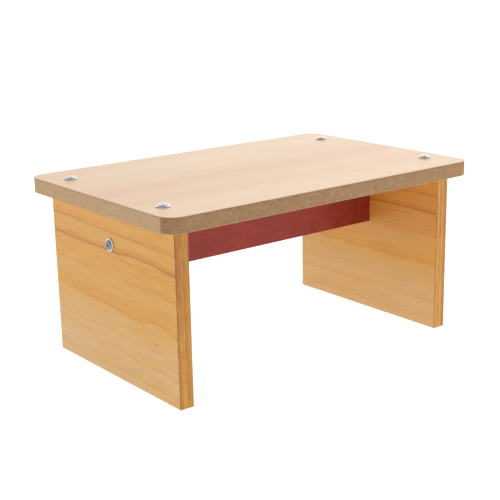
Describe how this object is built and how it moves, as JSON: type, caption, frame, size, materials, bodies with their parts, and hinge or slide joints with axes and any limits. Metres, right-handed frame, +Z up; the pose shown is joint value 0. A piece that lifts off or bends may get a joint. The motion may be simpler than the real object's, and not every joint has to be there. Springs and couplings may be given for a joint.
{
  "type": "low bench",
  "caption": "Low fixed bench: level rectangular top with rounded corners on two upright end panels, braced by a stretcher board under the top.",
  "frame": {"origin": "on the floor, under the middle of the bench", "axes": "+X along the length of the top, +Y towards the rear, +Z up"},
  "size_m": [0.46, 0.3, 0.2231],
  "materials": {
    "mdf": "raw sawn fibreboard edge, matt",
    "beech_laminate": "pale beech decor laminate, satin",
    "balancing_laminate": "plain pale backing laminate, matt",
    "pine_laminate": "golden pine decor laminate, satin",
    "pine_edge_band": "golden pine decor edge band, satin",
    "red_laminate": "brick red laminate, fine texture, matt",
    "red_edge_band": "brick red edge band, matt",
    "zinc_steel": "bright zinc plate",
    "dowel_beech": "raw turned beech"
  },
  "bodies": {
    "root": {"left_panel_core": "mdf", "left_panel_dowel_front": "dowel_beech", "left_panel_dowel_rear": "dowel_beech", "left_panel_front_edge_band": "pine_edge_band", "left_panel_inner_laminate": "pine_laminate", "left_panel_outer_laminate": "pine_laminate", "left_panel_rear_edge_band": "pine_edge_band", "right_panel_core": "mdf", "right_panel_dowel_front": "dowel_beech", "right_panel_dowel_rear": "dowel_beech", "right_panel_front_edge_band": "pine_edge_band", "right_panel_inner_laminate": "pine_laminate", "right_panel_outer_laminate": "pine_laminate", "right_panel_rear_edge_band": "pine_edge_band", "side_screw_left": "zinc_steel", "side_screw_right": "zinc_steel", "stretcher_bottom_edge_band": "red_edge_band", "stretcher_core": "mdf", "stretcher_dowel_left_lower": "dowel_beech", "stretcher_dowel_left_upper": "dowel_beech", "stretcher_dowel_right_lower": "dowel_beech", "stretcher_dowel_right_upper": "dowel_beech", "stretcher_front_laminate": "red_laminate", "stretcher_rear_laminate": "red_laminate", "top_balancing_laminate": "balancing_laminate", "top_board_core": "mdf", "top_face_laminate": "beech_laminate", "top_screw_left_front": "zinc_steel", "top_screw_left_rear": "zinc_steel", "top_screw_right_front": "zinc_steel", "top_screw_right_rear": "zinc_steel"}
  },
  "joints": []
}
